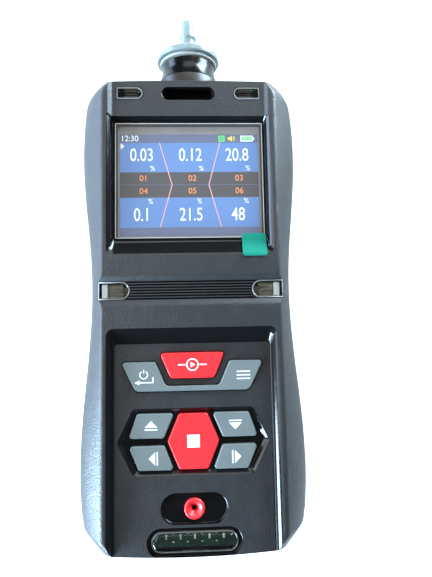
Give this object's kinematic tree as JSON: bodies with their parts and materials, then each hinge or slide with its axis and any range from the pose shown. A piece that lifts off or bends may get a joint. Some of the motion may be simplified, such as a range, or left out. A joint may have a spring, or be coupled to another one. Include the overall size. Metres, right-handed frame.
{
  "type": "portable gas detector",
  "caption": "Hand-held gas detector with a waisted black case, colour display, keypad, red pump and stop keys, warning lamp windows and a nozzle with a filter cap.",
  "frame": {"origin": "middle of the bounding box, at the back of the case, on the surface it lies on", "axes": "+Z out of the display, +Y along the case towards the inlet nozzle, +X to the right as the display is read"},
  "size_m": [0.0786, 0.1966, 0.0329],
  "materials": {
    "case_plastic": "fine texture",
    "socket_plastic": "satin",
    "gloss_black": "gloss",
    "seal_rubber": "matte",
    "steel": "plain",
    "display_glass": "polished",
    "clear_film": "clear film",
    "green_film": "film",
    "display": "lit display",
    "clear_lens": "clear",
    "lamp": "lamp lens",
    "circuit_board": "satin",
    "grey_silicone": "soft matte",
    "red_plastic": "satin",
    "grey_key": "satin",
    "white_plastic": "satin",
    "probe_plastic": "satin",
    "battery_wrap": "shrink wrap",
    "brass": "machined",
    "white_silicone": "soft matte",
    "filter_paper": "matte",
    "translucent_plastic": "translucent"
  },
  "bodies": {
    "case": {"front_housing": "case_plastic", "rear_housing": "case_plastic", "housing_seal": "seal_rubber", "housing_screw_1": "steel", "housing_screw_2": "steel", "housing_screw_3": "steel", "housing_screw_4": "steel", "housing_screw_5": "steel", "housing_screw_6": "steel", "display_window": "display_glass", "protective_film": "clear_film", "film_tab": "green_film", "display_module": "display", "top_lens_left": "clear_lens", "top_lens_right": "clear_lens", "waist_lens_left": "clear_lens", "waist_lens_right": "clear_lens", "bottom_lens": "clear_lens", "lamp_top_left": "lamp", "lamp_top_right": "lamp", "lamp_waist_left": "lamp", "lamp_waist_right": "lamp", "lamp_bottom": "circuit_board", "sound_mesh": "gloss_black", "keypad_mat": "grey_silicone", "outlet_funnel": "red_plastic", "inlet_socket": "socket_plastic", "collar": "gloss_black", "main_board": "circuit_board", "buzzer": "gloss_black", "gas_manifold": "white_plastic", "sensor_1": "white_plastic", "sensor_2": "white_plastic", "sensor_3": "white_plastic", "sensor_4": "white_plastic", "climate_probe": "probe_plastic", "inlet_hose": "grey_silicone", "link_hose": "grey_silicone", "outlet_hose": "grey_silicone", "battery": "battery_wrap", "charge_jack": "steel", "pump_head": "gloss_black", "pump_motor": "steel", "vibration_motor": "steel"},
    "key_pump_body": {"key_pump": "red_plastic"},
    "key_up_body": {"key_up": "grey_key"},
    "key_down_body": {"key_down": "grey_key"},
    "key_left_body": {"key_left": "grey_key"},
    "key_right_body": {"key_right": "grey_key"},
    "key_stop_body": {"key_stop": "red_plastic"},
    "rocker": {"key_power_menu": "grey_key"},
    "filter": {"filter_seal": "white_silicone", "filter_disc": "filter_paper"},
    "cap": {"filter_cap": "translucent_plastic"},
    "crank": {"pump_crank": "brass"},
    "weight": {"vibration_weight": "brass"}
  },
  "joints": [
    {"name": "key_pump_press", "type": "slide", "parent": "case", "child": "key_pump_body", "axis": [0, 0, -1], "range_m": [0, 0.0008], "stiffness_N_per_m": 1000},
    {"name": "key_up_press", "type": "slide", "parent": "case", "child": "key_up_body", "axis": [0, 0, -1], "range_m": [0, 0.0008], "stiffness_N_per_m": 1000},
    {"name": "key_down_press", "type": "slide", "parent": "case", "child": "key_down_body", "axis": [0, 0, -1], "range_m": [0, 0.0008], "stiffness_N_per_m": 1000},
    {"name": "key_left_press", "type": "slide", "parent": "case", "child": "key_left_body", "axis": [0, 0, -1], "range_m": [0, 0.0008], "stiffness_N_per_m": 1000},
    {"name": "key_right_press", "type": "slide", "parent": "case", "child": "key_right_body", "axis": [0, 0, -1], "range_m": [0, 0.0008], "stiffness_N_per_m": 1000},
    {"name": "key_stop_press", "type": "slide", "parent": "case", "child": "key_stop_body", "axis": [0, 0, -1], "range_m": [0, 0.0008], "stiffness_N_per_m": 1000},
    {"name": "power_menu_rock", "type": "hinge", "parent": "case", "child": "rocker", "pos_m": [0, -0.03705, 0.0255], "axis": [0, 1, 0], "range_deg": [-1.5, 1.5], "stiffness_Nm_per_rad": 0.8},
    {"name": "cap_turn", "type": "hinge", "parent": "case", "child": "filter", "pos_m": [0, 0.08085, 0.0162], "axis": [0, 1, 0], "range_deg": [0, 540]},
    {"name": "cap_lift", "type": "slide", "parent": "filter", "child": "cap", "axis": [0, 1, 0], "range_m": [0, 0.003]},
    {"name": "pump_spin", "type": "hinge", "parent": "case", "child": "crank", "pos_m": [-0.0015, -0.00035, 0.0105], "axis": [1, 0, 0], "continuous": true},
    {"name": "vibrator_spin", "type": "hinge", "parent": "case", "child": "weight", "pos_m": [-0.02, -0.02035, 0.0057], "axis": [1, 0, 0], "continuous": true}
  ],
  "couplings": [
    {"joint": "cap_turn", "follows": "cap_lift", "rad_per_m": 3141.6}
  ]
}
